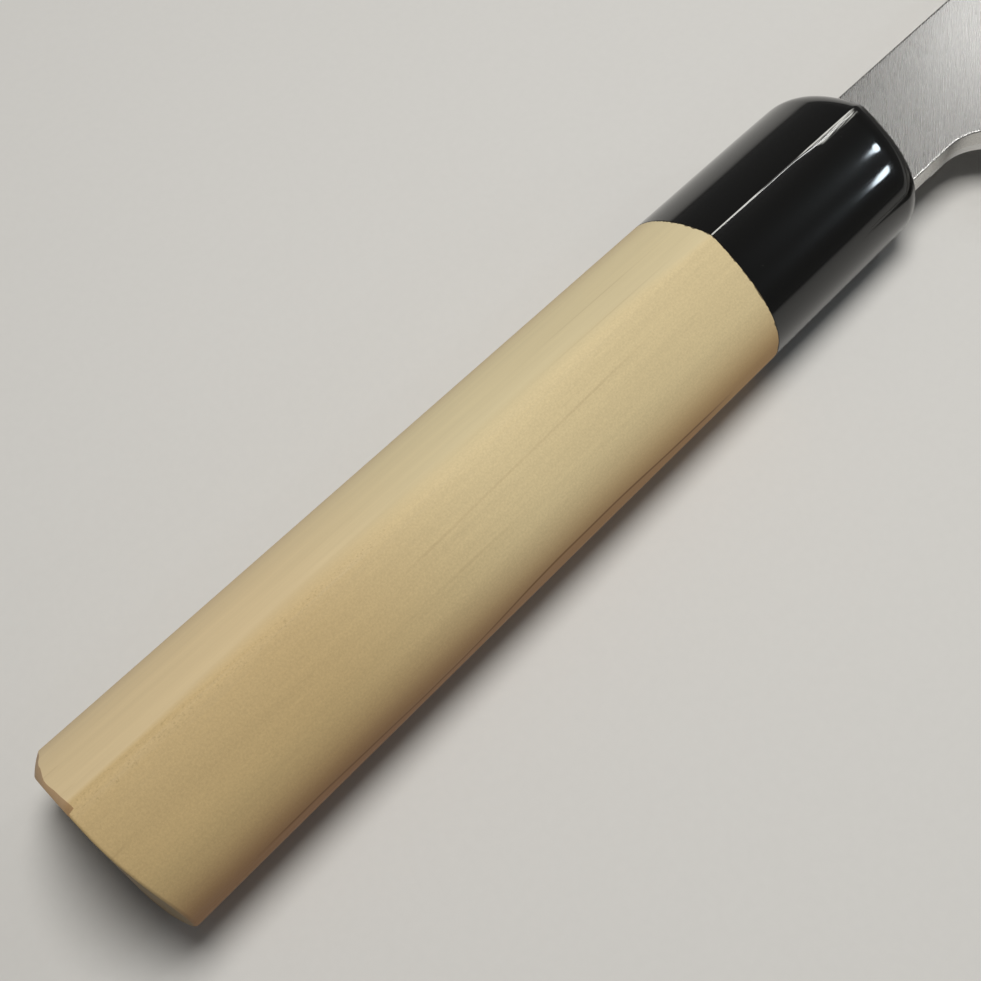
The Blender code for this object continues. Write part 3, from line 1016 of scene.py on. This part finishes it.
def flank_tones(tree, x, edge_side, fibre, speckle):
    """The pale wood of both flanks, with painted shade that darkens them towards the butt."""
    broad = noise(tree, (0.070, 0.011, 0.011), 3, 0.55)
    streaks = noise(tree, (0.045, 0.0013, 0.0013))
    cast = times(tree, spread(tree, broad, *MOST_NOISE, 0.965, 1.03),
                 spread(tree, streaks, *MOST_NOISE, 0.975, 1.02))
    # Painted shade: the edge-side flank gets a darker tone.
    colour = tinted(tree, mixed(tree, edge_side, TOP_WOOD, EDGE_FLANK_SHADED_WOOD), cast)
    # Painted shade: the flanks are darkened towards the butt.
    butt_shaded = tinted(tree, colour, mixed(tree, edge_side, BUTT_SHADE_TOP, BUTT_SHADE_LOW))
    colour = mixed(tree, spread(tree, x, *BUTT_SHADE_FROM, curve="SMOOTHSTEP"), colour, butt_shaded)
    grain = spread(tree, fibre, *MOST_NOISE, 0.975, 1.02)
    coarse = spread(tree, speckle, 0.32, 0.68, 0.925, 1.055)
    return tinted(tree, colour, grain, mixed(tree, edge_side, WHITE, coarse))


def painted_low_shade(tree, colour, x, z, edge_side):
    """Painted shade: the wood low on either side is made browner, most towards the butt."""
    low = spread(tree, z, *LOW_SHADE_LEVELS, 0.0, LOW_SHADE_SHARE, "SMOOTHSTEP")
    tone = mixed(tree, spread(tree, x, *LOW_SHADE_FADES), LOW_SHADE_AT_BUTT, LOW_SHADE_IN_FRONT)
    colour = mixed(tree, times(tree, low, edge_side), colour, tone)
    spine_side = maths(tree, "SUBTRACT", 1.0, edge_side)
    return mixed(tree, times(tree, low, spine_side), colour, LOW_SHADE_SPINE_SIDE)


# %% Pores, end grain and seam
PORE_SIZE = (0.00030, 0.00024, 0.00024)
PORES_START = 0.008
PORES_END = 0.047
PORES_FADE = 0.004
PORES_SHIFT = 0.0003
PORES_REACH = (0.0009, 0.00025)
RIM_TONE = (0.42, 0.235, 0.120)
RIM_FACING = (0.30, 0.45)
END_TONE = (0.26, 0.185, 0.095)
END_FACING = (0.86, 0.96)
NEAR_BUTT = (0.006, 0.007)
SEAM_TONE = (0.05, 0.035, 0.02)
SEAM_WIDTHS = (0.00003, 0.00026)


def ridge_pores(tree, x, y, z):
    """Cut pores, as tiny specks beside the ridge."""
    beside = maths(tree, "ABSOLUTE", maths(tree, "ADD", y, PORES_SHIFT))
    reach = spread(tree, x, PORES_START, PORES_END, *PORES_REACH)
    return times(tree, spread(tree, noise(tree, PORE_SIZE), 0.57, 0.70, 0.0, 0.32),
                 maths(tree, "LESS_THAN", beside, reach),
                 spread(tree, x, PORES_END - PORES_FADE, PORES_END, 1.0, 0.0),
                 spread(tree, z, 0.005, 0.006))


def end_tones(tree, colour, x, y, z):
    """The bared rim and the end grain at the butt, and the dark seam at the joint."""
    facing = three_numbers(tree, "ShaderNodeNewGeometry", "Normal")[0]
    backwards = times(tree, facing, -1.0)
    near_butt = spread(tree, x, *NEAR_BUTT, 1.0, 0.0)
    on_rim = times(tree, near_butt, spread(tree, backwards, *RIM_FACING, 0.0, 0.62),
                   spread(tree, z, 0.0, 0.003), spread(tree, y, -0.0006, -0.0003))
    on_end = times(tree, near_butt, spread(tree, backwards, *END_FACING))
    nick = noise(tree, (0.0016, 0.0009, 0.0009))
    from_joint = maths(tree, "SUBTRACT", WOOD_LENGTH, x)
    seam = maths(tree, "LESS_THAN", from_joint, spread(tree, nick, 0.40, 0.68, *SEAM_WIDTHS))
    for share, tone in ((on_rim, RIM_TONE), (on_end, END_TONE),
                        (times(tree, seam, 0.85), SEAM_TONE)):
        colour = mixed(tree, share, colour, tone)
    return colour


# %% Wood
WOOD = (0.62, 0.51, 0.30)
# Painted shade below the dark streak on the edge side.
SHADE_BELOW_STREAK = (0.34, 0.165, 0.070)
LINE_TONE = (0.20, 0.115, 0.050)
STREAK_TONE = (0.20, 0.095, 0.035)
PORE_TONE = (0.27, 0.20, 0.085)
WOOD_SHEEN = 0.3


def make_wood():
    """Bare magnolia."""
    material, tree, shader = new_material("bare_magnolia", WOOD, 0.6)
    x, y, z = axes(tree)
    fibre = noise(tree, (0.014, 0.0004, 0.0004), 4, 0.6)
    speckle = noise(tree, (0.00025, 0.00025, 0.00025), 3, 0.6)
    edge_side = edge_flank(tree, x, y)
    colour = flank_tones(tree, x, edge_side, fibre, speckle)
    colour = painted_low_shade(tree, colour, x, z, edge_side)
    streak, shade_below_streak = side_streak(tree, x, y, z)
    pores = ridge_pores(tree, x, y, z)
    for share, tone in ((times(tree, shade_below_streak, 0.35), SHADE_BELOW_STREAK),
                        (growth_lines(tree, x), LINE_TONE),
                        (times(tree, streak, 0.80), STREAK_TONE),
                        (pores, PORE_TONE)):
        colour = mixed(tree, share, colour, tone)
    fill(tree, shader.inputs["Base Color"], end_tones(tree, colour, x, y, z))

    fill(tree, shader.inputs["Roughness"], spread(tree, fibre, *MOST_NOISE, 0.54, 0.70))
    shader.inputs["Specular IOR Level"].default_value = WOOD_SHEEN
    raised = times(tree, speckle, spread(tree, y, 0.0005, -0.0005, 0.1, 0.7))
    height = maths(tree, "ADD", raised, times(tree, fibre, 0.5))
    bumped(tree, shader, maths(tree, "SUBTRACT", height, pores), 0.35, 0.00006)
    return material


wood = make_wood()

# %% [markdown]
# ## Ferrule finish
# Polished black resin mirrors its surroundings. What makes it look real is what disturbs
# that mirror: a faint waviness from the buffing wheel, hairline scratches, dust, and a
# ridge that is scuffed along its crest and, in front, over a narrow strip beside it. That
# scuffing is painted near white, so it is also a painted highlight along the ridge.

# %% Scuffed ridge and its painted highlight
SCUFF_AND_HIGHLIGHT_FROM = 0.1163
SCUFF_AND_HIGHLIGHT_FADE = 0.002
SCUFF_AND_HIGHLIGHT_ENDS = (0.1250, 0.1262)
SCUFF_AND_HIGHLIGHT_OPENS = 0.35
SCUFF_AND_HIGHLIGHT_WIDTH = 0.0009
CREST_SHIFT = 0.00004
CREST_WIDTHS = (0.00005, 0.00010)
# The crest's scuffs and painted highlight are strongest at the joint.
JOINT_WEAR_AND_HIGHLIGHT = (0.1066, 0.1085)
LEAST_WEAR_AND_HIGHLIGHT = 0.15


def ridge_scuffs_and_highlight(tree, x, y, z):
    """Where the ridge is scuffed and painted with a highlight: thinly on its crest, and in front by
    scratches beside it.
    """
    worn_and_lit = maths(tree, "MAXIMUM", spread(tree, x, *JOINT_WEAR_AND_HIGHLIGHT, 1.0, LEAST_WEAR_AND_HIGHLIGHT),
                 spread(tree, x, SCUFF_AND_HIGHLIGHT_FROM - SCUFF_AND_HIGHLIGHT_FADE, SCUFF_AND_HIGHLIGHT_FROM))
    off_crest = maths(tree, "ABSOLUTE", maths(tree, "ADD", y, CREST_SHIFT))
    crest = times(tree, spread(tree, off_crest, *CREST_WIDTHS, 1.0, 0.0), worn_and_lit)
    opening = times(tree, maths(tree, "SUBTRACT", x, SCUFF_AND_HIGHLIGHT_FROM), SCUFF_AND_HIGHLIGHT_OPENS)
    opening = maths(tree, "MINIMUM", opening, SCUFF_AND_HIGHLIGHT_WIDTH)
    scratch = noise(tree, (0.0032, 0.00016, 0.00016), 3, 0.6, turn=(0, 0, 3))
    strip = times(tree, spread(tree, maths(tree, "ADD", y, opening), 0.0, 0.0003),
                  spread(tree, y, 0.0, 0.0001, 1.0, 0.0),
                  spread(tree, scratch, 0.45, 0.57, 0.06, 0.85))
    return times(tree, maths(tree, "MAXIMUM", crest, strip),
                 spread(tree, x, *SCUFF_AND_HIGHLIGHT_ENDS, 1.0, 0.0), spread(tree, z, 0.005, 0.007))


# %% Black resin
BLACK = (0.0022, 0.0021, 0.0017)
DUST = (0.16, 0.15, 0.13)
# Near white for the ridge: scuffs, and a painted highlight.
SCUFF_AND_HIGHLIGHT_WHITE = (0.82, 0.82, 0.78)
WAX_HAZE = 0.22
WAX_ROUGHNESS = 0.25


def make_black():
    """Polished black resin under a thin haze of wax, with a scuffed ridge painted near white as a
    highlight.
    """
    material, tree, shader = new_material("polished_black", BLACK, 0.06)
    shader.inputs["Coat Weight"].default_value = WAX_HAZE
    shader.inputs["Coat Roughness"].default_value = WAX_ROUGHNESS
    scuffed_and_lit = ridge_scuffs_and_highlight(tree, *axes(tree))
    haze = noise(tree, (0.016, 0.016, 0.016), 4)
    hair = noise(tree, (0.011, 0.0002, 0.0002), 3, 0.7, turn=(0, 0, 7))
    rough = maths(tree, "ADD", spread(tree, haze, *MOST_NOISE, 0.045, 0.075),
                  spread(tree, hair, 0.64, 0.76, 0.0, 0.07))
    rough = maths(tree, "ADD", rough, times(tree, scuffed_and_lit, 0.18))
    fill(tree, shader.inputs["Roughness"], rough)
    dust = noise(tree, (0.00035, 0.00035, 0.00035))
    colour = mixed(tree, spread(tree, dust, 0.775, 0.80, 0.0, 0.35), BLACK, DUST)
    # Painted highlight: the scuffed ridge is coloured near white.
    colour = mixed(tree, times(tree, scuffed_and_lit, 0.80), colour, SCUFF_AND_HIGHLIGHT_WHITE)
    fill(tree, shader.inputs["Base Color"], colour)
    wave = noise(tree, (0.010, 0.005, 0.005), 1)
    height = maths(tree, "ADD", wave, times(tree, hair, 0.02))
    bumped(tree, shader, height, 0.05, 0.0003)
    return material


black = make_black()

# %% [markdown]
# ## Steel finishes
# The blade is soft iron with a layer of hard steel welded to its back. Grinding leaves
# fine lines across the knife, the iron duller and a little cloudy, the hard layer
# brighter. The lines are noise that is stretched along the stroke of the grinder.

# %% Steel
GRIND_STROKE = (0, 0, 35)
IRON = (0.61, 0.60, 0.58)
HARD_STEEL = (0.66, 0.66, 0.65)


def make_steel(name, base, low_rough, high_rough, depth):
    """Ground steel with fine lines across the blade."""
    material, tree, shader = new_material(name, base, low_rough, 1.0)
    lines = noise(tree, (0.0060, 0.00009, 0.00009), turn=GRIND_STROKE)
    broad = noise(tree, (0.020, 0.0022, 0.0022), turn=GRIND_STROKE)
    cloud = noise(tree, (0.014, 0.014, 0.014), 4, 0.6)
    rough = maths(tree, "ADD", spread(tree, lines, *MOST_NOISE, low_rough, high_rough),
                  spread(tree, cloud, *MOST_NOISE, -0.008, 0.010))
    fill(tree, shader.inputs["Roughness"], rough)
    tone = times(tree, spread(tree, lines, *MOST_NOISE, 0.945, 1.035),
                 spread(tree, broad, *MOST_NOISE, 0.97, 1.02))
    fill(tree, shader.inputs["Base Color"], tinted(tree, base, tone))
    bumped(tree, shader, lines, depth, 0.000006)
    return material


iron = make_steel("cloudy_iron", IRON, 0.26, 0.29, 0.06)
hard = make_steel("bright_steel", HARD_STEEL, 0.19, 0.22, 0.05)

# %% [markdown]
# ## Bedding finish
# The tang sits in poured resin the colour of dark honey. It is hidden in the handle, so it
# only needs its amber cast and a slight marbling from the pour.

# %% Bedding resin
AMBER = (0.40, 0.24, 0.08)
DARK_AMBER = (0.30, 0.16, 0.05)
LIGHT_AMBER = (0.50, 0.31, 0.12)


def make_amber():
    """Poured resin."""
    material, tree, shader = new_material("amber_resin", AMBER, 0.35)
    swirl = noise(tree, (0.016, 0.006, 0.006), 3, distortion=1.2)
    colour = mixed(tree, spread(tree, swirl, *MOST_NOISE), DARK_AMBER, LIGHT_AMBER)
    fill(tree, shader.inputs["Base Color"], colour)
    fill(tree, shader.inputs["Roughness"], spread(tree, swirl, *MOST_NOISE, 0.28, 0.42))
    bumped(tree, shader, swirl, 0.2, 0.0002)
    return material


amber = make_amber()

# %% [markdown]
# ## Pieces and finishes
# Each fine piece gets its finish, rides on the part's one body, and stands for the exact
# solid that it was made round. The bedding is hidden, so it keeps its exact solid and
# only gets the resin's finish.

# %% Give each piece its finish
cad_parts["tang_bedding"].data.materials[0] = amber
for piece, node, finish, slot in ((handle, "handle_wood", wood, "pale_wood"),
                                  (ferrule, "ferrule", black, "black_resin"),
                                  (blade, "blade_body", iron, "soft_iron"),
                                  (layer, "edge_steel", hard, "hard_steel")):
    piece.data.materials.clear()
    piece.data.materials.append(finish)
    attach(piece, "root")
    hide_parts(node)

# %% [markdown]
# ## Floor
# A knife of this shape doesn't lie level: it rests on the back of its ferrule and on the
# edge of its blade, with the butt in the air. The floor's slope comes from the convex hull
# of the whole part: the knife rests on the hull's face below its centre of mass.

# %% Where the knife rests
DENSITIES = {"handle_wood": 450, "ferrule": 1200, "tang_bedding": 1100,
             "blade_body": 7850, "edge_steel": 7850}
FACES_DOWN = -0.8


def hull_and_centre():
    """The part's convex hull and its centre of mass."""
    hull = bmesh.new()
    moment, mass = Vector(), 0.0
    for name, density in DENSITIES.items():
        solid = bmesh.new()
        solid.from_mesh(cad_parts[name].data)
        weight = abs(solid.calc_volume()) * density
        middle = sum((face.calc_center_median() * face.calc_area() for face in solid.faces),
                     Vector()) / sum(face.calc_area() for face in solid.faces)
        moment += middle * weight
        mass += weight
        solid.free()
        hull.from_mesh(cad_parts[name].data)
    made = bmesh.ops.convex_hull(hull, input=hull.verts[:])
    spare = [item for item in made["geom_interior"] if isinstance(item, bmesh.types.BMVert)]
    bmesh.ops.delete(hull, geom=spare, context="VERTS")
    return hull, moment / mass


def resting_plane():
    """A point and the upward normal of the floor below the centre of mass."""
    hull, centre = hull_and_centre()
    for face in hull.faces:
        if face.normal.z > FACES_DOWN:
            continue
        below = centre - face.normal * (centre - face.verts[0].co).dot(face.normal)
        if bmesh.geometry.intersect_face_point(face, below):
            place, up = face.calc_center_median(), -face.normal
            hull.free()
            return place, up
    raise RuntimeError("the knife rests on no face")


rest_place, rest_up = resting_plane()
print("floor normal:", [round(number, 4) for number in rest_up])

# %% Floor
FLOOR_REACH = 3.0
FLOOR_COLOUR = (0.62, 0.61, 0.59)


def make_floor():
    """A wide pale sheet under the knife."""
    bm = bmesh.new()
    turn = Vector((0, 0, 1)).rotation_difference(rest_up).to_matrix().to_4x4()
    place = Matrix.Translation(rest_place) @ turn
    bmesh.ops.create_grid(bm, x_segments=1, y_segments=1, size=FLOOR_REACH, matrix=place)
    floor = finish_piece("floor", bm)
    material, tree, shader = new_material("pale_paper", FLOOR_COLOUR, 0.9)
    fine = noise(tree, (0.0011, 0.0011, 0.0011), 3)
    colour = tinted(tree, FLOOR_COLOUR, spread(tree, fine, *MOST_NOISE, 0.985, 1.0))
    fill(tree, shader.inputs["Base Color"], colour)
    floor.data.materials.append(material)
    return floor


make_floor()

# %% [markdown]
# ## Light
# One broad lamp above the handle gives the wood its plain, soft light. Small lamps beyond
# the blade draw what the polish shows: the thin line along the ferrule's ridge, the two
# spots on its shoulder and the sheen on the neck. A mirror shows a lamp only in the one
# direction that it turns the eye, so each lamp is placed as seen from its own spot. The
# world adds a faint even light, which keeps the shadows open.

# %% Lamps
COOL_WHITE = (0.80, 0.92, 1.0)
WARM_WHITE = (1.0, 0.985, 0.95)
DOWN_THE_HANDLE = (0.75, 0.40, -0.53)


def add_lamp(name, seen_from, direction, size, power, colour=WHITE, along=(0, 0, 1),
             distance=0.60):
    """An oval lamp that faces one spot from a direction: its size is across and along."""
    light = bpy.data.lights.new(name, "AREA")
    light.shape = "ELLIPSE"
    light.size, light.size_y = size
    light.energy = power
    light.color = colour
    lamp = bpy.data.objects.new(name, light)
    way = Vector(direction).normalized()
    length = Vector(along)
    length = (length - length.dot(way) * way).normalized()
    lamp.location = Vector(seen_from) + way * distance
    lamp.rotation_euler = Matrix((length.cross(way), length, way)).transposed().to_euler()
    bpy.context.scene.collection.objects.link(lamp)


add_lamp("overhead_lamp", seen_from=(0.11, 0, 0), direction=(0.05, 0.10, 1.0),
         size=(0.28, 0.28), power=2.75, colour=WARM_WHITE, distance=0.55)
add_lamp("ridge_lamp", seen_from=(0.1139, 0, 0.0106), direction=(0.590, -0.095, 0.802),
         size=(0.05, 0.09), power=0.17)
add_lamp("neck_lamp", seen_from=(0.1404, -0.003, 0.0019), direction=(0.725, 0.257, 0.64),
         size=(0.06, 0.06), power=0.062)
add_lamp("shoulder_lamp", seen_from=(0.1250, -0.0055, 0.0080),
         direction=(0.652, -0.451, 0.606), size=(0.046, 0.036), power=0.115,
         colour=COOL_WHITE, along=DOWN_THE_HANDLE)
add_lamp("low_shoulder_lamp", seen_from=(0.1226, -0.0077, 0.0067),
         direction=(0.629, -0.640, 0.439), size=(0.060, 0.022), power=0.090,
         colour=COOL_WHITE, along=DOWN_THE_HANDLE)

# %% World
WORLD_LIGHT = (0.11, 0.11, 0.11)
world = bpy.data.worlds.new("studio")
world.use_nodes = True
world.node_tree.nodes["Background"].inputs["Color"].default_value = (*WORLD_LIGHT, 1)
bpy.context.scene.world = world
bpy.context.scene.view_settings.view_transform = "Standard"
